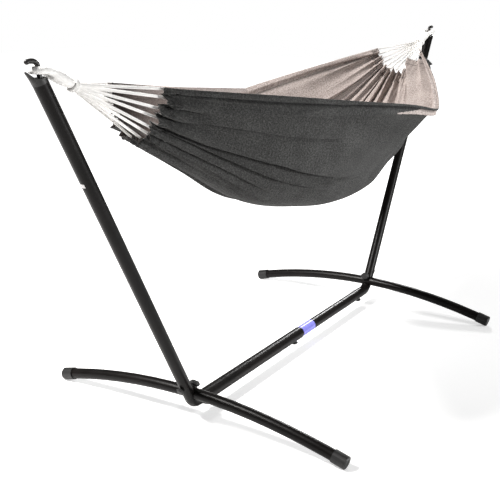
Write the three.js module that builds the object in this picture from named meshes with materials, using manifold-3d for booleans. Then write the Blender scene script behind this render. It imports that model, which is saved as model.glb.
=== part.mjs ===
// A hammock on its stand. A two-part beam lies along X, and at each end a bent corner tube carries a
// sloping upright, two arched legs and their hand knobs. A fabric bed hangs by cotton strings and whipped
// rope eyes from a hook in each upright. Millimetres, +Z up, origin on the floor below the middle.
import * as THREE from 'three';
import { mergeVertices } from 'three/addons/utils/BufferGeometryUtils.js';
import Module from 'manifold-3d';

const wasm = await Module();
wasm.setup();

// ---- driving dimensions ----
const HALF_BASE = 702; // from the middle to where the beam's axis meets an upright's axis
const BEAM_Z = 61.7; // height of the beam's axis
const TILT = THREE.MathUtils.degToRad(28.3); // an upright leans outward by this much
const UPRIGHT_LENGTH = 1302; // along its axis, from the beam's axis to the tube's top end
const TUBE = { outer: 21.5, inner: 19.5 }; // upright tube radii
const CORNER_BORE = 19; // bore radius of the bent corner tube
const CORNER_BEND = 46; // bend radius of the corner tube's axis
const UPRIGHT_START = 64; // along the upright's axis, where its tube meets the corner tube
const NEAR_BEAM = { outer: 24.5, inner: 22.8, from: -655, to: 47 }; // the wide sleeve
const FAR_BEAM = { outer: 22.4, inner: 20.5, from: -75, to: 650 }; // the tube that slides into it
const LEG_SPAN = 595; // from the middle to a leg's outer end, along Y
const LEG_CROWN_Z = 103.3;
const LEG_DROP = 81.5; // how far a leg falls from the crown to its end
const LEG = { outer: 20, inner: 18.2 };
const LEG_X = 709; // the plane of the legs
const LEG_START = 24.5; // a leg's inner end, against the cross stub
const CROSS_STUB = { outer: 20, spigot: 16.8, bore: 15, reach: 44 }; // the spigots enter the legs
const CAP = { outer: 23, bore: 20.7, depth: 47, end: 4 };
const GAP = 0.3; // between pieces that touch
const STUD = 4; // knob stud radius
const STUD_HOLE = 4.5;

const ROPE = 10; // radius of the whipped rope
const BED = { end: 965, widest: 300, endHalf: 112, midHalf: 445, endRim: 1172.3, midRim: 1016.3 };
const KEEL = { middle: 50, low: 640, near: { end: 1020, power: 1.85 }, far: { end: 1060, power: 2.6 } };
const BED_THICKNESS = 5;
const KNOT_BORE = 17.2;
const STRINGS = 14; // at each end
const STRING = 1.5; // string radius
const RING_RISE = 5; // the half ring's middle is this far above the neck's axis

// ---- materials ----
const paint = (color, roughness, metalness) =>
  new THREE.MeshStandardMaterial({ color, roughness, metalness });
const powderCoat = paint(0x1d1a19, 0.42, 0.35);
const blackPlastic = paint(0x141414, 0.5, 0);
const charcoalCloth = paint(0x4a4a49, 0.9, 0);
const whiteCotton = paint(0xe9e6e0, 0.85, 0);

const assembly = new THREE.Group();
const V = (x, y, z) => new THREE.Vector3(x, y, z);

// ---- solids ----
function solidOf(geometry) {
  const bare = geometry.clone();
  bare.deleteAttribute('normal');
  bare.deleteAttribute('uv');
  const merged = mergeVertices(bare, 1e-4);
  const solid = new wasm.Manifold(new wasm.Mesh({
    numProp: 3,
    vertProperties: new Float32Array(merged.attributes.position.array),
    triVerts: new Uint32Array(merged.index.array),
  }));
  if (!(solid.volume() > 0)) throw new Error('a solid is inside out or open');
  return solid;
}

function geometryOf(solid) {
  const mesh = solid.getMesh();
  const geometry = new THREE.BufferGeometry();
  geometry.setAttribute('position', new THREE.BufferAttribute(mesh.vertProperties, 3));
  geometry.setIndex(new THREE.BufferAttribute(mesh.triVerts, 1));
  geometry.computeVertexNormals();
  return geometry;
}

function add(name, solid, material) {
  const mesh = new THREE.Mesh(geometryOf(solid), material);
  mesh.name = name;
  assembly.add(mesh);
}

const union = (solids) => solids.reduce((whole, next) => whole.add(next));

// Moves a geometry made along +Y so that its origin is at start and its +Y points along direction.
function aim(geometry, start, direction) {
  const turn = new THREE.Quaternion().setFromUnitVectors(V(0, 1, 0), direction.clone().normalize());
  return geometry.applyQuaternion(turn).translate(start.x, start.y, start.z);
}

function rod(start, end, radius, sides = 20) {
  const along = end.clone().sub(start);
  const length = along.length();
  const geometry = new THREE.CylinderGeometry(radius, radius, length, sides).translate(0, length / 2, 0);
  return solidOf(aim(geometry, start, along));
}

function lathe(profile, start, direction, sides) {
  const points = profile.map(([r, y]) => new THREE.Vector2(r, y));
  return solidOf(aim(new THREE.LatheGeometry(points, sides), start, direction));
}

function straightTube(start, end, outer, inner, sides = 24) {
  const length = start.distanceTo(end);
  const profile = [[inner, 0], [outer, 0], [outer, length], [inner, length], [inner, 0]];
  return lathe(profile, start, end.clone().sub(start), sides);
}

function sweep(path, radius, steps, sides = 12) {
  const section = new THREE.Shape().absarc(0, 0, radius, 0, Math.PI * 2);
  return solidOf(new THREE.ExtrudeGeometry(section, {
    steps, curveSegments: sides / 2, bevelEnabled: false, extrudePath: path,
  }));
}

// ---- places along an upright: side is -1 at the near end, +1 at the far end ----
const uprightDirection = (side) => V(side * Math.sin(TILT), 0, Math.cos(TILT));
const outboard = (side) => V(side * Math.cos(TILT), 0, -Math.sin(TILT));
function onUpright(side, along, out = 0) {
  const foot = V(side * HALF_BASE, 0, BEAM_Z);
  return foot.addScaledVector(uprightDirection(side), along).addScaledVector(outboard(side), out);
}

// The axis of a corner tube: along the beam, round the bend, then up the upright.
class BentAxis extends THREE.Curve {
  constructor(start, corner, end, radius, steps) {
    super();
    const a = start.clone().sub(corner).normalize();
    const b = end.clone().sub(corner).normalize();
    const half = a.angleTo(b) / 2;
    const middle = a.clone().add(b).normalize();
    const centre = corner.clone().addScaledVector(middle, radius / Math.sin(half));
    const sweepAngle = Math.PI - 2 * half;
    const inward = middle.clone().negate();
    const across = b.clone().sub(a).normalize();
    this.stations = [start];
    for (let i = 0; i <= steps; i++) {
      const angle = (i / steps - 0.5) * sweepAngle;
      const point = centre.clone().addScaledVector(inward, radius * Math.cos(angle));
      this.stations.push(point.addScaledVector(across, radius * Math.sin(angle)));
    }
    this.stations.push(end);
  }

  getPoint(t) {
    const place = t * (this.stations.length - 1);
    const i = Math.min(Math.floor(place), this.stations.length - 2);
    return this.stations[i].clone().lerp(this.stations[i + 1], place - i);
  }

  getTangent(t) {
    const last = this.stations.length - 1;
    const i = Math.round(t * last);
    const before = this.stations[Math.max(i - 1, 0)].clone().sub(this.stations[i]).normalize();
    const after = this.stations[Math.min(i + 1, last)].clone().sub(this.stations[i]).normalize();
    return after.sub(before).normalize();
  }

  getUtoTmapping(u) {
    return u;
  }
}

// ---- hand knobs: the stud goes into the tube and the head stands off it ----
function knobHead(radius, height, lobes) {
  const outline = new THREE.Shape();
  const points = 24;
  for (let i = 0; i < points; i++) {
    const angle = (i / points) * Math.PI * 2;
    const reach = radius * (0.94 + 0.06 * Math.cos(lobes * angle));
    const [x, y] = [reach * Math.cos(angle), reach * Math.sin(angle)];
    if (i === 0) outline.moveTo(x, y);
    else outline.lineTo(x, y);
  }
  outline.closePath();
  const round = height * 0.35;
  return new THREE.ExtrudeGeometry(outline, {
    depth: height - 2 * round,
    bevelThickness: round,
    bevelSize: round,
    bevelOffset: -round,
    bevelSegments: 1,
  }).translate(0, 0, round).rotateX(-Math.PI / 2);
}

function knob(name, seat, direction, { radius, height, lobes, stud: studLength }) {
  const neckTop = seat.clone().addScaledVector(direction, 2);
  const foot = seat.clone().addScaledVector(direction, 1);
  const head = solidOf(aim(knobHead(radius, height, lobes), foot, direction));
  const neck = rod(seat.clone().addScaledVector(direction, GAP), neckTop, radius * 0.6, 14);
  const stud = rod(seat.clone().addScaledVector(direction, -studLength), neckTop, STUD, 10);
  add(name, union([head, neck, stud]), blackPlastic);
}

function studHole(seat, direction, depth = 14) {
  const start = seat.clone().addScaledVector(direction, -depth);
  return rod(start, seat.clone().addScaledVector(direction, 4), STUD_HOLE, 10);
}

const DOWN = V(0, 0, -1);
const SMALL_KNOB = { radius: 15, height: 12, lobes: 6, stud: 9 };
const CROWN_KNOB = { radius: 20, height: 20, lobes: 8, stud: 12 };
const BEAM_KNOB_X = 620;
const SLEEVE_KNOB_X = 12;
const UPRIGHT_KNOB = 95; // along the upright's axis

const beamSeat = (x, tube) => V(x, 0, BEAM_Z - tube.outer);
const uprightSeat = (side) => onUpright(side, UPRIGHT_KNOB, TUBE.outer);
const crownCentre = (side) => V(side * LEG_X, 0, LEG_CROWN_Z);
const CROWN_LEAN = THREE.MathUtils.degToRad(35); // the crown knob leans inward
const crownDirection = (side) => V(-side * Math.sin(CROWN_LEAN), 0, Math.cos(CROWN_LEAN));
const CROWN_SEAT = 22; // from the cross stub's axis
const crownSeat = (side) => crownCentre(side).addScaledVector(crownDirection(side), CROWN_SEAT);

// ---- base ----
function beams() {
  const along = ({ from, to, outer, inner }) =>
    straightTube(V(from, 0, BEAM_Z), V(to, 0, BEAM_Z), outer, inner);
  const sleeveHole = studHole(beamSeat(SLEEVE_KNOB_X, NEAR_BEAM), DOWN);
  const nearHole = studHole(beamSeat(-BEAM_KNOB_X, NEAR_BEAM), DOWN);
  const farHole = studHole(beamSeat(BEAM_KNOB_X, FAR_BEAM), DOWN);
  add('near_beam_tube', along(NEAR_BEAM).subtract(sleeveHole).subtract(nearHole), powderCoat);
  add('far_beam_tube', along(FAR_BEAM).subtract(sleeveHole).subtract(farHole), powderCoat);
}

// A bent tube with a welded cross stub for the legs, a boss for the crown knob, and ends inside its tubes.
function corner(name, side) {
  const foot = V(side * HALF_BASE, 0, BEAM_Z);
  const tube = side < 0 ? NEAR_BEAM : FAR_BEAM;
  const plain = side < 0 ? 560 : FAR_BEAM.to + GAP; // where the tube's full width begins
  const bent = (reach, top, radius) => {
    const start = V(side * reach, 0, BEAM_Z);
    const axis = new BentAxis(start, foot, onUpright(side, top), CORNER_BEND, 6);
    return sweep(axis, radius, axis.stations.length - 1, 24);
  };
  const crosswise = (from, to, radius) => (
    rod(V(side * LEG_X, from, LEG_CROWN_Z), V(side * LEG_X, to, LEG_CROWN_Z), radius, 24)
  );
  const boss = rod(crownCentre(side), crownSeat(side), 15, 18);
  const { reach, outer, spigot } = CROSS_STUB;
  const stub = crosswise(GAP - LEG_START, LEG_START - GAP, outer).add(crosswise(-reach, reach, spigot));
  const outside = union([bent(plain, UPRIGHT_START - GAP, TUBE.outer), stub, boss]);
  const spigotHollow = (way) => crosswise(way * LEG_START, way * (reach + 1), CROSS_STUB.bore);
  const bore = bent(plain - 10, UPRIGHT_START + 20, CORNER_BORE);
  const open = outside.subtract(bore).subtract(spigotHollow(1)).subtract(spigotHollow(-1));
  const spigotBore = 17.2;
  const insideTube = TUBE.inner - GAP;
  const [low, high] = [onUpright(side, 52), onUpright(side, 150)];
  const uprightSpigot = straightTube(low, high, insideTube, spigotBore);
  const parts = [open, uprightSpigot];
  if (side > 0) {
    parts.push(straightTube(V(plain + 12, 0, BEAM_Z), V(560, 0, BEAM_Z), tube.inner - GAP, spigotBore));
  }
  const holes = [
    studHole(beamSeat(side * BEAM_KNOB_X, tube), DOWN),
    studHole(uprightSeat(side), outboard(side)),
    studHole(crownSeat(side), crownDirection(side), 16),
  ];
  add(name, holes.reduce((whole, hole) => whole.subtract(hole), union(parts)), powderCoat);
}

function upright(name, side) {
  const [start, end] = [onUpright(side, UPRIGHT_START), onUpright(side, UPRIGHT_LENGTH)];
  const tube = straightTube(start, end, TUBE.outer, TUBE.inner);
  add(name, tube.subtract(studHole(uprightSeat(side), outboard(side))), powderCoat);
}

function legHeight(y) {
  return LEG_CROWN_Z - LEG_DROP * (y / LEG_SPAN) ** 2;
}

function legSlope(y) {
  return (-2 * LEG_DROP * y) / LEG_SPAN ** 2;
}

// Half of the arch: a parabola from inside the crown sleeve to the end cap.
function leg(name, side, way) {
  const start = V(side * LEG_X, way * LEG_START, legHeight(LEG_START));
  const end = V(side * LEG_X, way * LEG_SPAN, legHeight(LEG_SPAN));
  const middleY = (LEG_START + LEG_SPAN) / 2;
  const middle = V(side * LEG_X, way * middleY, start.z + legSlope(LEG_START) * (middleY - LEG_START));
  const arch = new THREE.QuadraticBezierCurve3(start, middle, end);
  const section = new THREE.Shape().absarc(0, 0, LEG.outer, 0, Math.PI * 2);
  section.holes.push(new THREE.Path().absarc(0, 0, LEG.inner, 0, Math.PI * 2, true));
  add(name, solidOf(new THREE.ExtrudeGeometry(section, {
    steps: 8, curveSegments: 9, bevelEnabled: false, extrudePath: arch,
  })), powderCoat);
}

// A cup over the leg's end, trimmed flat where it stands on the floor.
function legCap(name, side, way) {
  const chordY = LEG_SPAN - CAP.depth / 2;
  const outward = V(0, way, legSlope(chordY)).normalize();
  const end = V(side * LEG_X, way * LEG_SPAN, legHeight(LEG_SPAN)).addScaledVector(outward, GAP);
  const [back, front] = [-CAP.depth, CAP.end];
  const edge = 2.5;
  const profile = [
    [0, 0], [CAP.bore, 0], [CAP.bore, back], [CAP.outer, back],
    [CAP.outer, front - edge], [CAP.outer - edge, front], [0, front],
  ];
  const floorCut = solidOf(new THREE.BoxGeometry(120, 120, 40).translate(end.x, end.y, -20));
  add(name, lathe(profile, end, outward, 24).subtract(floorCut), blackPlastic);
}

// ---- hooks ----
// Places on a hook, as distance outboard and height above the top of its upright.
function onHook(side, out, up, y = 0) {
  const top = onUpright(side, UPRIGHT_LENGTH);
  return V(top.x + side * out, y, top.z + up);
}

function hook(name, side) {
  const top = onUpright(side, UPRIGHT_LENGTH);
  const axis = uprightDirection(side);
  const collarFoot = top.clone().addScaledVector(axis, GAP);
  const collar = rod(collarFoot, top.clone().addScaledVector(axis, 30), TUBE.outer + 0.7, 28);
  const plugFoot = top.clone().addScaledVector(axis, -45);
  const plug = rod(plugFoot, top.clone().addScaledVector(axis, 6), TUBE.inner - GAP, 24);
  const level = onHook(side, 0, 11);
  const levelCut = solidOf(new THREE.BoxGeometry(120, 120, 60).translate(level.x, 0, level.z + 30));
  const horn = new THREE.CatmullRomCurve3([
    onHook(side, 0, 2), onHook(side, 2, 25), onHook(side, 4.5, 41), onHook(side, 9.5, 49),
    onHook(side, 18.5, 53), onHook(side, 32, 53.5), onHook(side, 40.5, 52),
  ]);
  const hornRadius = 6.8;
  const tipPlace = onHook(side, 40.5, 52).toArray();
  const tip = solidOf(new THREE.SphereGeometry(hornRadius, 12, 8).translate(...tipPlace));
  const spike = new THREE.CylinderGeometry(1.8, 8.5, 42, 14).scale(1, 1, 1.5);
  const spikeFoot = onHook(side, 18, 2);
  const spikeTip = onHook(side, 51.5, 31);
  const lean = Math.atan2(side * (spikeTip.x - spikeFoot.x), spikeTip.z - spikeFoot.z);
  spike.translate(0, 21, 0).rotateX(Math.PI / 2).rotateY(side * lean).translate(...spikeFoot.toArray());
  const below = rod(top.clone().addScaledVector(axis, -30), collarFoot, TUBE.outer + 8, 28);
  const outer = collar.subtract(levelCut).add(solidOf(spike).subtract(below));
  add(name, union([outer, plug, sweep(horn, hornRadius, 14, 12), tip]), blackPlastic);
}

// ---- the hammock ----
// A whipped rope eye round the hook's horn; its two legs close into a neck that ends at the knot.
const eyeRoute = [
  [1341, 0, 1239.3], [1337, 12.5, 1239.3], [1325, 19, 1239.2], [1307, 18, 1236.8],
  [1286, 13, 1230.3], [1262, 9, 1219.3], [1235, 7, 1206.5], [1199, 6.5, 1189.5],
];
const neckEnd = (side) => V(side * eyeRoute.at(-1)[0], 0, eyeRoute.at(-1)[2]);
function neckDirection(side) {
  const [before, last] = eyeRoute.slice(-2);
  return V(side * (last[0] - before[0]), 0, last[2] - before[2]).normalize();
}

function hangingLoop(name, side) {
  const half = (way) => {
    const points = eyeRoute.map(([x, y, z]) => V(side * x, way * y, z));
    const overlap = V(side * eyeRoute[0][0], -way * 2, eyeRoute[0][2]);
    return sweep(new THREE.CatmullRomCurve3([overlap, ...points.slice(1)]), ROPE, 15, 10);
  };
  add(name, half(1).add(half(-1)), whiteCotton);
}

// The band that ties the strings to the eye, round the neck just above its end.
function knot(name, side) {
  const [width, length, bulge] = [2.5, 16, 4.5];
  const profile = [
    [KNOT_BORE, 0], [KNOT_BORE + width, 0], [KNOT_BORE + bulge, length / 2],
    [KNOT_BORE + width, length], [KNOT_BORE, length], [KNOT_BORE, 0],
  ];
  const start = neckEnd(side).addScaledVector(neckDirection(side), -length - 5);
  add(name, lathe(profile, start, neckDirection(side), 18), whiteCotton);
}

// Half width, rim height and keel height of the bed at x.
function bedAt(x) {
  const reach = BED.end - Math.sign(x - BED.widest) * BED.widest;
  const t = Math.abs(x - BED.widest) / reach;
  const k = Math.abs(x - KEEL.middle) / (BED.end - Math.sign(x - KEEL.middle) * KEEL.middle);
  const rise = x < KEEL.middle ? KEEL.near : KEEL.far;
  return {
    half: BED.midHalf + (BED.endHalf - BED.midHalf) * t ** 1.26,
    rim: BED.midRim + (BED.endRim - BED.midRim) * t,
    keel: KEEL.low + (rise.end - KEEL.low) * k ** rise.power,
    flare: 0.2 * Math.exp(-(((x - BED.widest) / 330) ** 2)),
  };
}

// A point of the bed: across runs from -1 at one rim through 0 at the keel to 1 at the other rim.
function bedPoint(x, across) {
  const { half, rim, keel, flare } = bedAt(x);
  const turn = (Math.abs(across) * Math.PI) / 2;
  const narrow = 1 - flare * Math.sin(2 * turn) ** 2;
  const y = Math.sign(across) * half * Math.sin(turn) ** 1.11 * narrow;
  return V(x, y, rim - (rim - keel) * Math.cos(turn) ** 1.11);
}

function bed() {
  const [nx, ny] = [24, 18];
  const positions = [];
  const index = [];
  const inward = (x, across) => {
    const step = 0.02;
    const before = bedPoint(x, Math.max(across - step, -1));
    const after = bedPoint(x, Math.min(across + step, 1));
    return V(0, before.z - after.z, after.y - before.y).normalize();
  };
  for (const layer of [0, 1]) {
    for (let i = 0; i <= nx; i++) {
      for (let j = 0; j <= ny; j++) {
        const x = BED.end * ((2 * i) / nx - 1);
        const across = (2 * j) / ny - 1;
        const point = bedPoint(x, across).addScaledVector(inward(x, across), layer * BED_THICKNESS);
        positions.push(point.x, point.y, point.z);
      }
    }
  }
  const at = (layer, i, j) => layer * (nx + 1) * (ny + 1) + i * (ny + 1) + j;
  const quad = (a, b, c, d) => index.push(a, b, c, a, c, d);
  for (let i = 0; i < nx; i++) {
    for (let j = 0; j < ny; j++) {
      quad(at(0, i, j), at(0, i, j + 1), at(0, i + 1, j + 1), at(0, i + 1, j));
      quad(at(1, i, j), at(1, i + 1, j), at(1, i + 1, j + 1), at(1, i, j + 1));
    }
    quad(at(0, i, 0), at(0, i + 1, 0), at(1, i + 1, 0), at(1, i, 0));
    quad(at(0, i, ny), at(1, i, ny), at(1, i + 1, ny), at(0, i + 1, ny));
  }
  for (let j = 0; j < ny; j++) {
    quad(at(0, 0, j), at(1, 0, j), at(1, 0, j + 1), at(0, 0, j + 1));
    quad(at(0, nx, j), at(0, nx, j + 1), at(1, nx, j + 1), at(1, nx, j));
  }
  const geometry = new THREE.BufferGeometry();
  geometry.setAttribute('position', new THREE.BufferAttribute(new Float32Array(positions), 3));
  geometry.setIndex(index);
  add('hammock_bed', solidOf(geometry), charcoalCloth);
}

// Cotton strings fan from a half ring at the neck's end to the gathered edge of the bed.
function strings(end, side) {
  const ring = 16;
  const clear = 1.8; // from the neck's end face and from the bed's edge
  const neck = neckDirection(side);
  const across = V(0, 1, 0);
  const up = V(side * neck.z, 0, -side * neck.x);
  for (let i = 0; i < STRINGS; i++) {
    const share = i / (STRINGS - 1);
    const angle = THREE.MathUtils.degToRad(-172 + 164 * share);
    const start = neckEnd(side).addScaledVector(neck, clear).addScaledVector(up, RING_RISE);
    start.addScaledVector(across, ring * Math.cos(angle)).addScaledVector(up, ring * Math.sin(angle));
    const finish = bedPoint(side * BED.end, 0.96 * (2 * share - 1)).add(V(side * clear, 0, clear));
    const number = String(i + 1).padStart(2, '0');
    add(`${end}_string_${number}`, rod(start, finish, STRING, 8), whiteCotton);
  }
}

// ---- assembly ----
beams();
for (const [end, side] of [['near', -1], ['far', 1]]) {
  corner(`${end}_corner_tube`, side);
  upright(`${end}_upright_tube`, side);
  hook(`${end}_hook`, side);
  for (const [hand, way] of [['left', 1], ['right', -1]]) {
    leg(`${end}_${hand}_leg`, side, way);
    legCap(`${end}_${hand}_leg_cap`, side, way);
  }
  const beam = side < 0 ? NEAR_BEAM : FAR_BEAM;
  knob(`${end}_beam_knob`, beamSeat(side * BEAM_KNOB_X, beam), DOWN, SMALL_KNOB);
  knob(`${end}_upright_knob`, uprightSeat(side), outboard(side), SMALL_KNOB);
  knob(`${end}_crown_knob`, crownSeat(side), crownDirection(side), CROWN_KNOB);
  hangingLoop(`${end}_hanging_loop`, side);
  knot(`${end}_knot`, side);
  strings(end, side);
}
knob('sleeve_knob', beamSeat(SLEEVE_KNOB_X, NEAR_BEAM), DOWN, SMALL_KNOB);
bed();

export default assembly;
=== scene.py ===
"""The looks of a hammock on its steel stand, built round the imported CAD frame."""
import math

import bpy
import numpy as np
from mathutils import Matrix, Vector


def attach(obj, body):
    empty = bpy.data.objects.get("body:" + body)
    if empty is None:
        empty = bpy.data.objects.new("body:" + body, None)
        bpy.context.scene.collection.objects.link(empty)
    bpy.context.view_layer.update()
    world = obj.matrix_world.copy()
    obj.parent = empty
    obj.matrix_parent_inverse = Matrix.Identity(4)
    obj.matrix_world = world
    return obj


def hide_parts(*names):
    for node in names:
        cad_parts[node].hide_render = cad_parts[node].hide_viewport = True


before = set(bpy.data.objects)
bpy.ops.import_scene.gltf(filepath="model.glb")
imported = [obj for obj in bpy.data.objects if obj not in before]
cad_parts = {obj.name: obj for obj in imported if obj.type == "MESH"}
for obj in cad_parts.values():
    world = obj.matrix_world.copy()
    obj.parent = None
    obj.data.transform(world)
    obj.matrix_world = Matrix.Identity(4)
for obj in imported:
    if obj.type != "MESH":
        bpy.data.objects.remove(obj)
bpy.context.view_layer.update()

STRINGS = 14  # at each end
ENDS = {"near": -1, "far": 1}  # the sign of x at each end


# ---- helpers ----
def mesh_piece(name, vertices, faces, slot, body="hammock"):
    """A smooth-shaded mesh that rides on a body. slot is not used."""
    mesh = bpy.data.meshes.new(name)
    mesh.from_pydata([tuple(v) for v in vertices], [], [tuple(f) for f in faces])
    mesh.validate()
    mesh.polygons.foreach_set("use_smooth", [True] * len(mesh.polygons))
    piece = bpy.data.objects.new(name, mesh)
    bpy.context.scene.collection.objects.link(piece)
    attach(piece, body)
    return piece


def grid_faces(rows, columns, close_columns=False):
    """Quads over rows x columns vertices in row order."""
    faces = []
    for i in range(rows - 1):
        row, next_row = i * columns, (i + 1) * columns
        for j in range(columns if close_columns else columns - 1):
            beside = (j + 1) % columns
            faces.append((row + j, next_row + j, next_row + beside, row + beside))
    return faces


def gather_tubes(tubes):
    """The vertices and faces of several tubes as one mesh."""
    vertices, faces = [], []
    for more, ring in tubes:
        faces += [tuple(i + len(vertices) for i in face) for face in ring]
        vertices += more
    return vertices, faces


def through(values, at, powers):
    """The polynomial with these powers that takes values at those places."""
    matrix = np.array([[t ** p for p in powers] for t in at])
    weights = np.linalg.solve(matrix, np.array(values))
    return lambda t: sum(w * t ** p for w, p in zip(weights, powers))


def smooth_through(knots, values, x):
    """A smooth curve through a few values, read at x: cubic steps with averaged slopes."""
    knots, values, x = np.asarray(knots, float), np.asarray(values, float), np.asarray(x, float)
    slopes = np.gradient(values, knots)
    i = np.clip(np.searchsorted(knots, x) - 1, 0, len(knots) - 2)
    width = knots[i + 1] - knots[i]
    t = np.clip((x - knots[i]) / width, 0, 1)
    rise = (2 * t ** 3 - 3 * t ** 2 + 1) * values[i] + (3 * t ** 2 - 2 * t ** 3) * values[i + 1]
    bend = (t ** 3 - 2 * t ** 2 + t) * slopes[i] + (t ** 3 - t ** 2) * slopes[i + 1]
    return rise + bend * width


def step(low, high, x):
    """0 below low, 1 above high, smooth between."""
    t = np.clip((np.asarray(x, float) - low) / (high - low), 0, 1)
    return t * t * (3 - 2 * t)


def frames_along(points):
    """Unit tangents and two normals along a line of points, without twist."""
    points = np.asarray(points, float)
    tangents = np.gradient(points, axis=0)
    tangents /= np.linalg.norm(tangents, axis=1)[:, None]
    side = np.cross(tangents[0], (0, 0, 1.0))
    if np.linalg.norm(side) < 0.1:
        side = np.cross(tangents[0], (0, 1.0, 0))
    sides = []
    for tangent in tangents:
        side = side - tangent * side.dot(tangent)
        side /= np.linalg.norm(side)
        sides.append(side)
    sides = np.array(sides)
    return tangents, sides, np.cross(tangents, sides)


def tube(points, radius, sides):
    """Vertices and faces of a closed tube. radius is a number, or a function of (station, angle)."""
    points = np.asarray(points, float)
    _, a, b = frames_along(points)
    vertices = []
    for i, point in enumerate(points):
        for j in range(sides):
            angle = 2 * math.pi * j / sides
            r = radius(i, angle) if callable(radius) else radius
            vertices.append(point + r * (math.cos(angle) * a[i] + math.sin(angle) * b[i]))
    faces = [f[::-1] for f in grid_faces(len(points), sides, close_columns=True)]
    last = (len(points) - 1) * sides
    faces.append(tuple(range(sides)))
    faces.append(tuple(last + j for j in reversed(range(sides))))
    return vertices, faces


def catmull(points, per_span):
    """A smooth line through points, with per_span stations in each span."""
    points = np.asarray(points, float)
    padded = np.vstack([2 * points[0] - points[1], points, 2 * points[-1] - points[-2]])
    out = []
    for i in range(1, len(padded) - 2):
        p0, p1, p2, p3 = padded[i - 1:i + 3]
        for t in np.arange(per_span) / per_span:
            out.append(0.5 * (2 * p1 + (p2 - p0) * t + (2 * p0 - 5 * p1 + 4 * p2 - p3) * t ** 2
                              + (3 * p1 - p0 - 3 * p2 + p3) * t ** 3))
    out.append(points[-1])
    return np.array(out)


def run_along(points):
    """How far along a line each of its points is, from 0 at the first."""
    steps = np.linalg.norm(np.diff(np.asarray(points), axis=0), axis=1)
    return np.concatenate([[0], np.cumsum(steps)])


def bell(distance, width):
    """1 at no distance, falling off smoothly on both sides."""
    return np.exp(-(distance / width) ** 2)


# ---- camera, floor and light ----
def matched_camera():
    """The camera at the reference view: azimuth 0 looks along +Y. Metres and degrees."""
    azimuth, elevation, roll = (math.radians(a) for a in (-57.71, 16.985, 0.321))
    target = Vector((-0.3385, -0.0008, 0.5221))
    distance = 3.105
    back = Vector((
        math.sin(azimuth) * math.cos(elevation),
        -math.cos(azimuth) * math.cos(elevation),
        math.sin(elevation),
    ))
    level = (-back).cross(Vector((0, 0, 1))).normalized()
    upright = level.cross(-back).normalized()
    right = math.cos(roll) * level + math.sin(roll) * upright
    up = -math.sin(roll) * level + math.cos(roll) * upright
    data = bpy.data.cameras.new("camera")
    data.lens = 61.12
    data.sensor_width = 36
    camera = bpy.data.objects.new("camera", data)
    camera.matrix_world = Matrix.Translation(target + back * distance) @ Matrix(
        (right, up, back)).transposed().to_4x4()
    bpy.context.scene.collection.objects.link(camera)
    bpy.context.scene.camera = camera


def add_light(data, place, aim_at):
    """Puts a light at its place, turned towards what it aims at."""
    light = bpy.data.objects.new(data.name, data)
    light.location = place
    light.rotation_euler = (Vector(aim_at) - Vector(place)).to_track_quat("-Z", "Y").to_euler()
    bpy.context.scene.collection.objects.link(light)


def area_light(name, place, aim_at, size, power, colour=(1, 1, 1)):
    data = bpy.data.lights.new(name, "AREA")
    data.shape = "DISK"
    data.size = size
    data.energy = power
    data.color = colour
    add_light(data, place, aim_at)


def spot_light(name, place, aim_at, size, power, cone):
    """A soft-edged spot. cone is its full angle in degrees."""
    data = bpy.data.lights.new(name, "SPOT")
    data.energy = power
    data.spot_size = math.radians(cone)
    data.spot_blend = 1.0
    data.shadow_soft_size = size
    add_light(data, place, aim_at)


def lights():
    """A low softbox in front, a warm key from behind, a streak for the tubes, and a spot on the bed."""
    warm = (1.0, 0.975, 0.955)
    area_light("front_softbox", (0.6, -4.6, 1.15), (0.0, 0, 0.9), 0.9, 150)
    area_light("back_key", (-2.4, 1.7, 3.5), (0.2, 0, 0.9), 0.9, 380, warm)
    area_light("right_streak", (4.2, 1.2, 2.3), (0.6, 0, 0.3), 0.6, 90)
    spot_light("front_spot", (1.5, -3.4, 3.6), (0.3, -0.2, 0.85), 0.35, 520, 27)


def surround():
    """A world that is white to look at and dimmer as a light."""
    world = bpy.data.worlds.new("studio")
    world.use_nodes = True
    tree = world.node_tree
    background = tree.nodes["Background"]
    background.inputs["Color"].default_value = (1, 1, 1, 1)
    seen = tree.nodes.new("ShaderNodeLightPath").outputs["Is Camera Ray"]
    strength = tree.nodes.new("ShaderNodeMapRange")
    strength.inputs["To Min"].default_value = 0.15
    strength.inputs["To Max"].default_value = 1.0
    tree.links.new(seen, strength.inputs["Value"])
    tree.links.new(strength.outputs["Result"], background.inputs["Strength"])
    bpy.context.scene.world = world


def floor():
    """A white floor. Seen directly, it goes whiter with distance, so it has no horizon."""
    reach = 14
    near_place, far_place = 1.6, 4.5
    near_glow, far_glow = 0.45, 1.2
    mesh = bpy.data.meshes.new("floor")
    corners = [(-reach, -reach, 0), (reach, -reach, 0), (reach, reach, 0), (-reach, reach, 0)]
    mesh.from_pydata(corners, [], [(0, 1, 2, 3)])
    plane = bpy.data.objects.new("floor", mesh)
    bpy.context.scene.collection.objects.link(plane)
    pale = Nodes("floor_white")
    pale.set(Base_Color=(0.8, 0.8, 0.8, 1), Roughness=0.9, Emission_Color=(1, 1, 1, 1))
    away = pale.add("VectorMath", operation="LENGTH")
    pale.join(pale.coordinates(), away.inputs[0])
    glow = pale.map_range(away.outputs["Value"], near_place, far_place, near_glow, far_glow)
    seen = pale.add("LightPath").outputs["Is Camera Ray"]
    pale.join(pale.math("MULTIPLY", seen, glow), pale.shader.inputs["Emission Strength"])
    mesh.materials.append(pale.material)


def studio():
    bpy.context.scene.view_settings.view_transform = "Standard"
    surround()
    lights()
    floor()


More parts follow.
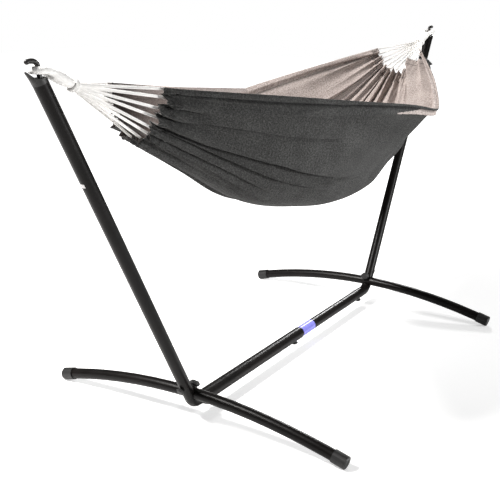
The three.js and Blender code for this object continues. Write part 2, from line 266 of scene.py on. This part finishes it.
# ---- materials ----
class Nodes:
    """A material's node tree, with short ways to add and join nodes."""

    def __init__(self, name):
        self.material = bpy.data.materials.new(name)
        self.material.use_nodes = True
        self.tree = self.material.node_tree
        self.shader = self.tree.nodes["Principled BSDF"]

    def add(self, kind, **settings):
        node = self.tree.nodes.new("ShaderNode" + kind)
        for key, value in settings.items():
            if hasattr(node, key):
                setattr(node, key, value)
            else:
                node.inputs[key.replace("_", " ")].default_value = value
        return node

    def join(self, source, target):
        self.tree.links.new(source, target)

    def coordinates(self, stretch=(1, 1, 1), uv=False):
        """Object-space places, or the cloth's own, in metres, times a stretch."""
        place = self.add("UVMap") if uv else self.add("TexCoord")
        mapping = self.add("Mapping")
        mapping.inputs["Scale"].default_value = stretch
        self.join(place.outputs["UV" if uv else "Object"], mapping.inputs["Vector"])
        return mapping.outputs["Vector"]

    def noise(self, vector, scale, detail=3.0, roughness=0.55):
        node = self.add("TexNoise")
        node.inputs["Scale"].default_value = scale
        node.inputs["Detail"].default_value = detail
        node.inputs["Roughness"].default_value = roughness
        self.join(vector, node.inputs["Vector"])
        return node.outputs["Fac"]

    def wave(self, vector, scale, direction, distortion=0.0):
        node = self.add("TexWave", wave_type="BANDS", bands_direction=direction)
        node.inputs["Scale"].default_value = scale
        node.inputs["Distortion"].default_value = distortion
        self.join(vector, node.inputs["Vector"])
        return node.outputs["Fac"]

    def math(self, operation, a, b):
        node = self.add("Math", operation=operation)
        for value, socket in ((a, node.inputs[0]), (b, node.inputs[1])):
            if isinstance(value, (int, float)):
                socket.default_value = value
            else:
                self.join(value, socket)
        return node.outputs[0]

    def map_range(self, value, low, high, first, last, **settings):
        """A value between low and high, turned into one between first and last."""
        node = self.add("MapRange", **settings)
        ends = {"From Min": low, "From Max": high, "To Min": first, "To Max": last}
        for key, number in ends.items():
            node.inputs[key].default_value = number
        self.join(value, node.inputs["Value"])
        return node.outputs["Result"]

    def ramp(self, factor, stops):
        """Colours at places along a factor from 0 to 1."""
        node = self.add("ValToRGB")
        elements = node.color_ramp.elements
        while len(elements) < len(stops):
            elements.new(0.5)
        for element, (place, colour) in zip(elements, stops):
            element.position = place
            element.color = (*colour, 1)
        self.join(factor, node.inputs["Fac"])
        return node.outputs["Color"]

    def bump(self, height, distance, strength=1.0):
        node = self.add("Bump")
        node.inputs["Strength"].default_value = strength
        node.inputs["Distance"].default_value = distance
        self.join(height, node.inputs["Height"])
        self.join(node.outputs["Normal"], self.shader.inputs["Normal"])

    def tint(self, factor, stops):
        """The base colour, from a ramp."""
        self.join(self.ramp(factor, stops), self.shader.inputs["Base Color"])

    def roughness(self, factor, least, extra):
        """Roughness from its least value, up by extra where the factor is 1."""
        rough = self.math("MULTIPLY_ADD", factor, extra)
        rough.node.inputs[2].default_value = least
        self.join(rough, self.shader.inputs["Roughness"])

    def set(self, **values):
        for key, value in values.items():
            self.shader.inputs[key.replace("_", " ")].default_value = value


def times(colour, share):
    return tuple(c * share for c in colour)


def powder_coat():
    """Near-black brown paint with a fine orange-peel surface and faint rubs."""
    m = Nodes("powder_coat")
    places = m.coordinates()
    m.tint(m.noise(places, 9.0, 4.0), [(0.3, (0.003, 0.0026, 0.0024)), (0.7, (0.006, 0.005, 0.0046))])
    m.roughness(m.noise(places, 26.0), 0.27, 0.14)
    m.bump(m.noise(places, 700.0, 2.0), 0.00025, 0.5)
    m.set(Specular_IOR_Level=0.15)
    return m.material


def moulded_plastic(name, colour, roughness):
    """Black plastic with the fine spark-eroded grain of a mould."""
    m = Nodes(name)
    places = m.coordinates()
    m.tint(m.noise(places, 40.0), [(0.35, times(colour, 0.8)), (0.65, times(colour, 1.25))])
    m.roughness(m.noise(places, 60.0), roughness, 0.12)
    m.bump(m.noise(places, 1600.0, 1.0), 0.0001, 0.6)
    return m.material


def paint_gather_shadow(m, places, colour, kept):
    """Painted shade: the colour darkened to only this share of itself in the tight gathers of the near
    end, standing in for their shadow.
    """
    full_from = 0.38  # metres along the cloth
    split = m.add("SeparateXYZ")
    m.join(places, split.inputs[0])
    shade = m.map_range(split.outputs["Y"], 0.05, full_from, kept, 1.0, interpolation_type="SMOOTHSTEP")
    scaled = m.add("VectorMath", operation="SCALE")
    m.join(colour, scaled.inputs[0])
    m.join(shade, scaled.inputs["Scale"])
    return scaled.outputs[0]


def heather_cloth(name, dark, middle, light, sheen, painted_shade_kept=1):
    """A plain weave of marled yarn: each thread is flecked, and threads cross every 1.1 mm."""
    m = Nodes(name)
    plain = m.coordinates(uv=True)
    along = m.noise(m.coordinates((1, 9, 1), uv=True), 420.0, 2.0)
    across = m.noise(m.coordinates((9, 1, 1), uv=True), 420.0, 2.0)
    flecks = m.math("MULTIPLY", m.math("ADD", along, across), 0.5)
    grain = m.noise(plain, 130.0, 3.0, 0.8)
    patches = m.noise(plain, 9.0, 3.0)
    mixed = m.math("ADD", m.math("MULTIPLY", flecks, 0.45), m.math("MULTIPLY", grain, 0.45))
    mixed = m.math("ADD", mixed, m.math("MULTIPLY", patches, 0.10))
    colour = m.ramp(mixed, [(0.44, dark), (0.5, middle), (0.56, light)])
    # painted shade: the inside colour darkens towards the near end, in place of the shadow in its
    # gathers
    if painted_shade_kept < 1:
        colour = paint_gather_shadow(m, plain, colour, painted_shade_kept)
    m.join(colour, m.shader.inputs["Base Color"])
    threads = 45.0  # bands in 100 mm at wave scale 1, so 1.1 mm a thread
    warp = m.wave(plain, threads, "X", 0.6)
    weft = m.wave(plain, threads, "Y", 0.6)
    weave = m.math("ADD", m.math("MULTIPLY", warp, weft), m.math("MULTIPLY", flecks, 0.6))
    m.bump(weave, 0.0005, 0.7)
    m.set(Roughness=0.92, Sheen_Weight=sheen, Sheen_Roughness=0.5, Specular_IOR_Level=0.2)
    return m.material


def cotton(name, colour):
    """Cotton yarn with soft fibre noise."""
    m = Nodes(name)
    places = m.coordinates()
    m.tint(m.noise(places, 90.0, 4.0), [(0.3, times(colour, 0.92)), (0.65, colour)])
    m.bump(m.noise(places, 500.0, 4.0), 0.0006, 0.6)
    m.set(Roughness=0.9, Sheen_Weight=0.25, Sheen_Roughness=0.5, Specular_IOR_Level=0.2)
    return m.material


def plain_print(name, colour):
    """A blank printed film."""
    m = Nodes(name)
    places = m.coordinates()
    m.tint(m.noise(places, 60.0), [(0.3, times(colour, 0.92)), (0.7, colour)])
    m.bump(m.noise(places, 300.0), 0.0001, 0.3)
    m.set(Roughness=0.35)
    return m.material


# ---- the bed's shape, in millimetres ----
BED_END = 965  # from the middle to each gathered edge
WIDEST = 300  # the corner of each long edge stands out most here
CORNER_DIP = 14  # how far the near corner hangs below the line of its edge
RIM = {
    "end_half": 112, "mid_half": 445, "half_power": 1.26,
    "end_z": 1172.3, "mid_z": 1016.3, "z_power": 1.06,
}
KEEL_X = [-965, -700, -400, -100, 50, 200, 500, 800, 965]
KEEL_Z = [1018, 874, 719, 643, 634, 643, 719, 890, 1072]
FLARE_X = [-965, -500, -100, 300, 600, 965]  # how much a section follows the flared profile
FLARE = [0.79, 0.08, 0.74, 1.25, 0.66, 0.31]
ROUND = 1.8  # power of the plain section's superellipse
flare_out = through((0.4187, 0.5764, 1.0), (0.35, 0.68, 1.0), (1, 2, 3))
flare_up = through((0.0807, 0.3373, 1.0), (0.35, 0.68, 1.0), (2, 3, 4))
CLOTH_HALF = 650  # half of the cloth's flat width
BUNCHING = {"rows": 1.25, "columns": 1.2}  # how much closer the grid's lines are at its edges


def section(x):
    """Half of the bed's section at x from keel to rim, evenly spaced: (y, z) rows and its length."""
    stations = 241
    t = abs(x - WIDEST) / (BED_END - WIDEST if x > WIDEST else BED_END + WIDEST)
    half = RIM["mid_half"] + (RIM["end_half"] - RIM["mid_half"]) * t ** RIM["half_power"]
    rim = RIM["mid_z"] + (RIM["end_z"] - RIM["mid_z"]) * t ** RIM["z_power"]
    keel = float(smooth_through(KEEL_X, KEEL_Z, x))
    flare = float(smooth_through(FLARE_X, FLARE, x))
    turn = np.linspace(0, 1, stations)
    y = half * ((1 - flare) * np.sin(turn * math.pi / 2) ** (2 / ROUND) + flare * flare_out(turn))
    up = (1 - flare) * (1 - np.cos(turn * math.pi / 2) ** (2 / ROUND)) + flare * flare_up(turn)
    z = keel + (rim - keel) * up
    arc = np.concatenate([[0], np.cumsum(np.hypot(np.diff(y), np.diff(z)))])
    even = np.linspace(0, arc[-1], stations)
    return np.stack([np.interp(even, arc, y), np.interp(even, arc, z)], 1), arc[-1]


def on_section(x, share):
    """y and z at a share of the way from the keel to a rim, -1 to 1, and the section's length."""
    half, arc = section(x)
    where = np.abs(share) * (len(half) - 1)
    index = np.arange(len(half))
    y = np.copysign(np.interp(where, index, half[:, 0]), share)
    return y, np.interp(where, index, half[:, 1]), arc


OUTERMOST = 0.96  # the share of the first and last strings
STRING_SHARE = [OUTERMOST * (2 * k / (STRINGS - 1) - 1) for k in range(STRINGS)]
PITCH = STRING_SHARE[1] - STRING_SHARE[0]
HEM = 42  # from a gathered edge to its stitched seam
FINGERS = {  # how far each string draws its finger of cloth out, in millimetres
    "near": [2, -20, 4, -4, 9, -6, 3, 8, -3, 6, -8, 5, -4, 0],
    "far": [4, 6, -5, 5, -9, 4, -3, 6, -7, 3, -6, 7, -3, 6],
}

# Pleats that run along the cloth: (x, share) places of the lower edge, which hangs over towards the
# keel, the height, and how far up towards the rim it fades out. Negative height stands inside the bed.
PLEATS = [
    ([(-965, -0.66), (-900, -0.60), (-800, -0.667), (-640, -0.708), (-420, -0.742), (-150, -0.76)],
     9, 0.09),
    ([(-965, -0.47), (-780, -0.467), (-630, -0.50), (-470, -0.525), (-180, -0.50), (60, -0.47)],
     17, 0.13),
    ([(-965, -0.42), (-770, -0.408), (-330, -0.40), (-100, -0.38)], 12, 0.04),
    ([(-965, -0.31), (-800, -0.31), (-600, -0.30), (-350, -0.27)], 7, 0.06),
    ([(-965, -0.25), (-720, -0.242), (-500, -0.217), (-250, -0.19)], 17, 0.07),
    ([(-965, -0.10), (-700, -0.08), (-400, -0.06)], 9, 0.07),
    ([(-965, 0.14), (-700, 0.13), (-300, 0.12)], 10, 0.08),
    ([(-965, 0.36), (-650, 0.40), (-200, 0.42)], 12, 0.09),
    ([(-965, 0.55), (-600, 0.60), (-250, 0.64)], 9, 0.07),
    ([(-965, 0.76), (-700, 0.78), (-400, 0.80)], 8, 0.06),
    ([(560, 0.66), (670, 0.642), (790, 0.633), (965, 0.61)], -15, 0.08),
    ([(640, 0.53), (750, 0.533), (840, 0.533), (965, 0.51)], -15, 0.045),
    ([(760, 0.44), (965, 0.43)], -8, 0.03),
    ([(700, 0.35), (965, 0.35)], -9, 0.04),
    ([(640, 0.25), (965, 0.26)], -11, 0.04),
    ([(600, 0.13), (965, 0.15)], -14, 0.06),
]
# Broad swells: (x, share) places of the crest, the height and the half width.
SWELLS = [
    ([(330, -0.66), (800, -0.62), (965, -0.57)], -46, 0.085),
    ([(300, -0.98), (800, -0.99), (965, -0.98)], -20, 0.05),
    ([(340, -0.88), (600, -0.84), (965, -0.78)], 34, 0.045),
    ([(400, -0.42), (965, -0.38)], 22, 0.05),
    ([(400, -0.24), (965, -0.20)], -20, 0.05),
    ([(400, -0.10), (965, -0.08)], 26, 0.05),
    ([(-300, -0.62), (200, -0.66), (500, -0.7)], 7, 0.16),
    ([(-200, -0.22), (150, -0.26), (500, -0.3)], 5, 0.12),
]


def ridge(share, centre, width=PITCH):
    """A rounded ridge across the cloth, 1 at its crest and sharp valleys at 0 beside it."""
    t = np.clip((share - centre) / width, -0.5, 0.5)
    return np.cos(t * math.pi) ** 0.9


def crumples(share, inset):
    """Small uneven puckers, about 1 high."""
    puckers = np.sin(share * 71 + 3 * np.sin(inset / 19)) * np.sin(inset / 11 + share * 23)
    return puckers + 0.7 * np.sin(share * 127 - inset / 13 + 2 * np.sin(share * 31))


def gathers(share, inset, end):
    """How far the cloth stands off its smooth shape: a finger at each string that fades inward.

    share runs across the cloth from -1 to 1, inset is the distance from that end's edge."""
    random = np.random.default_rng(11 if end == "near" else 23)
    height = np.zeros(np.broadcast(share, inset).shape)
    for centre in STRING_SHARE:
        drift = random.uniform(-0.03, 0.03)
        reach = random.uniform(110, 300)
        tall = random.uniform(15, 25)
        moved = centre + drift * step(30, 400, inset)
        height = height + tall * ridge(share, moved) * np.exp(-(inset / reach) ** 1.2)
    settled = 9 * np.exp(-(inset / 160) ** 1.2)  # keeps the ridges on both sides of the smooth shape
    seam = 4.0 * bell(inset - HEM, 5.0)
    return height - settled + 4.0 * crumples(share, inset) * bell(inset, 75) - seam


def along_line(line, x):
    """The share of a line across the cloth at x, and how far its ends have faded in: 0 to 1."""
    xs = [place[0] for place in line]
    starts = step(xs[0] - 60, xs[0] + 190, x) if xs[0] > -960 else 1.0
    stops = 1 - step(xs[-1] - 240, xs[-1] + 60, x) if xs[-1] < 960 else 1.0
    return np.interp(x, xs, [place[1] for place in line]), starts * stops


def folds(share, x):
    """The long folds' stand-off: pleats with a steep lower edge over a crease, and broad swells."""
    height = np.zeros(np.broadcast(share, x).shape)
    for line, tall, spread in PLEATS:
        centre, fade = along_line(line, x)
        past = np.sign(centre) * (centre - share)
        edge = 0.0016 * abs(tall)
        swell = np.exp(-np.maximum(-past, 0) / spread) * (1 - step(-0.003, edge, past))
        crease = step(-0.002, edge, past) * np.exp(-np.maximum(past - edge, 0) / 0.034)
        wander = 1 + 0.25 * np.sin(x / 130 + tall)
        height = height + tall * fade * wander * (swell - 1.1 * crease)
    for line, tall, half_width in SWELLS:
        centre, fade = along_line(line, x)
        height = height + tall * fade * bell(share - centre, half_width)
    return height


def soft_waves(share, x):
    """Slight slack in the cloth: long low waves that follow the pull between the ends."""
    wave = np.sin(share * 17 + x / 310) + 0.7 * np.sin(share * 29 - x / 240 + 1.3)
    return 1.2 * wave * (1 - 0.5 * step(0, 500, np.abs(x)))


def band_foot(x):
    """How far below the rim the turned band ends, in millimetres."""
    return smooth_through([-965, -810, -540, -240, 0, 300, 965], [52, 62, 58, 48, 40, 31, 40], x)


def rim_roll(below, x, side):
    """The turned long edges, as stand-off. below is the distance under the rim.

    The near edge, at negative side, has a thin roll on top, and a band that hangs over the body."""
    fade = step(-964, -930, x) * (1 - step(925, 962, x))
    groove = smooth_through([-965, -600, 0, 965], [17, 23, 14, 15], x)
    foot = band_foot(x)
    roll = 8 * np.sqrt(np.clip(1 - ((below - groove * 0.45) / (groove * 0.5)) ** 2, 0, 1))
    skirt = 4 + 15 * np.clip((below - groove) / (foot - groove), 0, 1) ** 0.8
    band = skirt * step(groove + 1, groove + 7, below) * (1 - step(foot - 2, foot + 3, below))
    sink = -10 * bell(below - groove, 3)
    diagonal = 5 * bell(below - np.interp(x, [-470, -240], [48, 10]), 6)
    diagonal = diagonal * step(-500, -430, x) * (1 - step(-270, -210, x))
    tuck = -6 * bell(below - 16, 5) * step(-260, -60, x) * (1 - step(220, 300, x))
    near = roll + band + sink + diagonal + tuck
    far_foot = smooth_through([-965, 0, 420, 700, 965], [30, 36, 26, 18, 22], x)
    far = -15 * (1 - step(far_foot - 2, far_foot + 3, below)) * step(-0.5, 6, below)
    far = far + 7 * bell(below - far_foot - 7, 6)
    return fade * np.where(side < 0, near, far)


def smooth_bed(rows, columns):
    """The bed without folds, in millimetres: its points, each column's share, each row's half length."""
    t = np.linspace(-1, 1, rows)
    xs = BED_END * np.sin(t * BUNCHING["rows"]) / math.sin(BUNCHING["rows"])
    even = np.linspace(-1, 1, columns)
    share = np.sin(even * BUNCHING["columns"]) / math.sin(BUNCHING["columns"])
    points = np.zeros((rows, columns, 3))
    arc = np.zeros((rows, 1))
    for i, x in enumerate(xs):
        y, z, arc[i] = on_section(x, share)
        points[i] = np.stack([np.full(columns, x), y, z], 1)
    return points, share[None, :], arc


def outward_from(points):
    """Unit normals of the bed's grid, away from its inside."""
    normal = np.cross(np.gradient(points, axis=0), np.gradient(points, axis=1))
    normal /= np.linalg.norm(normal, axis=2)[..., None]
    up_at_keel = normal[:, points.shape[1] // 2, 2]
    return normal * -np.sign(up_at_keel)[:, None, None]


def bed_grid(rows, columns):
    """The bed's points in metres, and how far along and across the flat cloth each one lies."""
    points, share, arc = smooth_bed(rows, columns)
    x = points[..., 0]
    below = (1 - np.abs(share)) * arc
    stand_off = gathers(share, BED_END + x, "near") + gathers(share, BED_END - x, "far")
    stand_off *= 0.35 + 0.65 * step(0, 30, below)
    stand_off += rim_roll(below, x, share)
    stand_off += folds(share, x) + soft_waves(share, x)
    points += outward_from(points) * stand_off[..., None]
    points[..., 2] -= CORNER_DIP * step(0.86, 1, -share) * bell(x - WIDEST, 120)
    for end, side in ENDS.items():
        pulled = step(BED_END - 110, BED_END, side * x)
        fingers = sum(ridge(share, c) * reach for c, reach in zip(STRING_SHARE, FINGERS[end]))
        points[..., 0] += side * pulled * fingers
    run = run_along(points[:, columns // 2])
    return points / 1000, run / 1000, share[0] * CLOTH_HALF / 1000


def show_lining(bed, flat):
    """At the near corner, the foot of the turned band shows the cloth's inner side."""
    for face in bed.data.polygons:
        x, y, _ = face.center * 1000
        below = CLOTH_HALF + float(flat[face.loop_start].uv[0]) * 1000
        above_foot = band_foot(x) - below
        shown = 2 + 14 * step(-60, 250, x) * (1 - step(330, 420, x))
        if y < 0 and x > 30 and 0 < above_foot < shown:
            face.material_index = 1


def hammock_bed():
    """The gathered cloth: charcoal outside, taupe inside, with flat coordinates for the weave."""
    rows, columns = ((260, 521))
    points, run, wide = bed_grid(rows, columns)
    hem_stitches(points)
    faces = [face[::-1] for face in grid_faces(rows, columns)]
    bed = mesh_piece("hammock_cloth", points.reshape(-1, 3), faces, "hammock_cloth")
    layer = bed.data.uv_layers.new(name="UVMap")
    vertex = np.zeros(len(bed.data.loops), int)
    bed.data.loops.foreach_get("vertex_index", vertex)
    flat = np.stack([wide[vertex % columns], run[vertex // columns]], 1)
    layer.data.foreach_set("uv", flat.astype(np.float32).ravel())
    charcoal = ((0.015, 0.015, 0.0145), (0.034, 0.034, 0.033), (0.072, 0.072, 0.07))
    taupe = ((0.19, 0.162, 0.15), (0.33, 0.285, 0.265), (0.48, 0.425, 0.4))
    bed.data.materials.append(heather_cloth("cloth_outside", *charcoal, sheen=0.04))
    # The inside colour has painted shade, darker towards the near end.
    bed.data.materials.append(heather_cloth("cloth_inside", *taupe, sheen=0.05, painted_shade_kept=0.3))
    show_lining(bed, layer.data)
    skin = bed.modifiers.new("thickness", "SOLIDIFY")
    skin.thickness = 0.0014
    skin.offset = 0
    skin.material_offset = 1
    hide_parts("hammock_bed")


def hem_stitches(points):
    """Dark thread dashes through the hem at both ends, on both faces of the cloth. In metres."""
    rows = points[:, points.shape[1] // 2, 0]
    dash, gap, margin = 0.0065, 0.0035, 0.006
    stand, radius = 0.0014, 0.0009
    for end, side in ENDS.items():
        row = int(np.argmin(np.abs(side * rows - (BED_END - HEM) / 1000)))
        line, beside = points[row], points[row - side]
        outward = np.cross(beside - line, np.gradient(line, axis=0))
        outward /= np.linalg.norm(outward, axis=1)[:, None]
        run = run_along(line)
        dashes = []
        for start in np.arange(margin, run[-1] - margin - dash, dash + gap):
            stations = np.linspace(start, start + dash, 4)
            for face in (-1, 1):
                way = line + face * stand * outward
                places = np.stack([np.interp(stations, run, way[:, i]) for i in range(3)], 1)
                dashes.append(tube(places, radius, 6))
        thread = mesh_piece(f"{end}_hem_stitches", *gather_tubes(dashes), "hammock_cloth")
        thread.data.materials.append(cotton(f"{end}_dark_thread", (0.02, 0.017, 0.017)))


# ---- cords ----
NECK = (1199, 1189.5)  # where an eye's two legs end, x and z in millimetres
EYE_ROUTE = [
    (1341, 0, 1239.3), (1337, 12.5, 1239.3), (1325, 19, 1239.2), (1307, 18, 1236.8),
    (1286, 13, 1230.3), (1262, 9, 1219.3), (1235, 7, 1206.5), (1199, 6.5, 1189.5),
]
ROPE = 10.0  # radius
WRAP = {"pitch": 4.6, "depth": 0.75}  # the turns of twine round the rope
STRAND = {"radius": 1.75, "apart": 2.5}  # three of these make a string


def hanging_loop(end, side, white):
    """The whipped rope eye: close wraps of twine run round the rope."""
    half = [(side * x, y, z) for x, y, z in EYE_ROUTE]
    other = [(x, -y, z) for x, y, z in reversed(half[1:])]
    line = catmull(other + half, 44)
    run = run_along(line)

    def radius(i, angle):
        turn = run[i] / WRAP["pitch"] + angle / (2 * math.pi)
        crown = abs(math.sin(math.pi * turn)) ** 0.6
        return (ROPE - WRAP["depth"] * (1 - crown)) / 1000

    eye = mesh_piece(f"{end}_rope_eye", *tube(line / 1000, radius, 28), "white_cotton")
    eye.data.materials.append(white)
    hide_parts(f"{end}_hanging_loop")


def neck_axis(side):
    """A point and direction on the neck, towards the hammock."""
    (x0, _, z0), (x1, _, z1) = EYE_ROUTE[-2:]
    direction = np.array([side * (x1 - x0), 0, z1 - z0], float)
    return np.array([side * NECK[0], 0, NECK[1]], float), direction / np.linalg.norm(direction)


def neck_sheath(end, side, white):
    """The bundle of strings over the eye's legs, gathered from the whipping down to the knot."""
    places = [(side * x, 0, z) for x, _, z in EYE_ROUTE[4:]]
    line = catmull(places, 14)
    lobes = 11

    def radius(i, angle):
        t = i / (len(line) - 1)
        wide = 22.5 - 5.0 * t
        tall = 12.0 + 4.5 * math.sin(math.pi * min(t * 1.15, 1)) ** 0.8 + 1.0 * t
        swell = 1 / math.hypot(math.cos(angle) / wide, math.sin(angle) / tall)
        taper = 0.55 + 0.45 * min(t / 0.08, 1) ** 0.5
        lobe = abs(math.sin(lobes * angle / 2 + 3.5 * t)) ** 0.7
        return swell * taper * (0.955 + 0.045 * lobe) / 1000

    sheath = mesh_piece(f"{end}_neck_bundle", *tube(line / 1000, radius, 66), "white_cotton")
    sheath.data.materials.append(white)


def knot(end, side, white):
    """Three turns of twine tied round the neck."""
    tip, direction = neck_axis(side)
    across = np.array([0, 1.0, 0])
    up = np.cross(direction, across)
    turns, stations, twine = 3, 110, 3.1
    reach_across, reach_up = 20.5, 16.8
    t = np.linspace(0, 1, stations)[:, None]
    angle = 2 * math.pi * turns * t
    ring = across * reach_across * np.cos(angle) + up * reach_up * np.sin(angle)
    line = tip + direction * (-17 + 15 * t) + ring
    lash = mesh_piece(f"{end}_lashing", *tube(line / 1000, twine / 1000, 12), "white_cotton")
    lash.data.materials.append(white)
    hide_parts(f"{end}_knot")


def string_line(end, side, k):
    """A string's centreline in millimetres: from the knot's half ring to its finger of cloth."""
    tip, direction = neck_axis(side)
    across = np.array([0, 1.0, 0])
    up = np.array([side * direction[2], 0, -side * direction[0]])
    angle = math.radians(-172 + 164 * k / (STRINGS - 1))
    start = tip - direction * 4 + up * 4 + 13 * (math.cos(angle) * across + math.sin(angle) * up)
    y, z, _ = on_section(side * BED_END, STRING_SHARE[k])
    tucked = 12  # how far the string goes into the hem
    finish = np.array([side * (BED_END - tucked + FINGERS[end][k]), y * 0.985, z + 2.0])
    return start + (finish - start) * np.linspace(0, 1, 40)[:, None]


def broad_side(line, tip):
    """The unit direction across a string that lies in its broad face, and the one out of it."""
    tangents, _, _ = frames_along(line)
    outward = line - (tip + (line[-1] - tip) * 0.5) * np.array([1, 0, 1])
    outward -= tangents * np.sum(outward * tangents, axis=1)[:, None]
    outward = outward[-1] / np.linalg.norm(outward[-1])
    flat = np.cross(tangents, outward)
    return flat / np.linalg.norm(flat, axis=1)[:, None], outward


def strings(end, side, white):
    """Each string is three strands laid flat, side by side, with their broad face outward."""
    tip, _ = neck_axis(side)
    for k in range(STRINGS):
        line = string_line(end, side, k)
        flat, outward = broad_side(line, tip)
        strands = []
        for way in (-1, 0, 1):
            lift = 0.5 * np.sin(np.linspace(0, 9, len(line)) + 2 * way + k)[:, None] * outward
            lay = line + way * STRAND["apart"] * flat + lift
            strands.append(tube(lay / 1000, STRAND["radius"] / 1000, 8))
        name = f"{end}_string_{k + 1:02d}"
        piece = mesh_piece(f"{name}_cotton", *gather_tubes(strands), "white_cotton")
        piece.data.materials.append(white)
        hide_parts(name)


# ---- the stand ----
def finish_of(name):
    """Which material a CAD node takes."""
    if name.endswith(("tube", "leg")):
        return "powder"
    return "hook" if name.endswith("hook") else "plastic"


def finish_cad(materials):
    """Smooth shading and the right material on each CAD node that stays in view."""
    for name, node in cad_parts.items():
        if node.hide_render:
            continue
        node.data.materials.clear()
        node.data.materials.append(materials[finish_of(name)])
        node.data.polygons.foreach_set("use_smooth", [True] * len(node.data.polygons))
        if "custom_normal" in node.data.attributes:
            node.data.attributes.remove(node.data.attributes["custom_normal"])
        weld = node.modifiers.new("weld", "WELD")
        weld.merge_threshold = 0.00001
        edges = node.modifiers.new("edges", "EDGE_SPLIT")
        edges.split_angle = math.radians(38)


def blank_label(name, middle, axis, outward, length, half_angle, radius, colour):
    """A label with nothing printed on it, bent round a tube. Millimetres and degrees."""
    axis, outward = np.array(axis, float), np.array(outward, float)
    across = np.cross(axis, outward)
    film = radius + 0.25
    along = np.linspace(-length / 2, length / 2, 5)
    angles = np.radians(np.linspace(-half_angle, half_angle, 25))
    rings = [outward * math.cos(a) + across * math.sin(a) for a in angles]
    points = [np.array(middle, float) + axis * t + film * ring for t in along for ring in rings]
    faces = grid_faces(len(along), len(angles))
    patch = mesh_piece(name, np.array(points) / 1000, faces, "powder_coat", "stand")
    patch.data.materials.append(plain_print(f"{name}_print", colour))


def labels():
    """A blue label round the inner beam tube beside the sleeve, and a small white one on an upright."""
    beam_z, foot_x, tilt = 61.7, 702, math.radians(28.3)
    blue, off_white = (0.2, 0.2, 0.62), (0.85, 0.83, 0.83)
    beam_radius, upright_radius = 22.4, 21.5
    front_and_up = (0, -0.6, 0.8)
    blank_label("beam_label", (105, 0, beam_z), (1, 0, 0), front_and_up, 100, 110, beam_radius, blue)
    up = np.array((-math.sin(tilt), 0, math.cos(tilt)))
    outboard = (-math.cos(tilt), 0.0, -math.sin(tilt))
    place = np.array((-foot_x, 0, beam_z)) + 985 * up
    blank_label("upright_label", place, up, outboard, 13, 17, upright_radius, off_white)


matched_camera()
studio()
white = cotton("white_cotton_yarn", (0.9, 0.89, 0.87))
for end, side in ENDS.items():
    hanging_loop(end, side, white)
    neck_sheath(end, side, white)
    knot(end, side, white)
    strings(end, side, white)
hammock_bed()
labels()
finish_cad({
    "powder": powder_coat(),
    "plastic": moulded_plastic("black_plastic", (0.009, 0.009, 0.009), 0.42),
    "hook": moulded_plastic("hook_nylon", (0.012, 0.011, 0.01), 0.36),
})
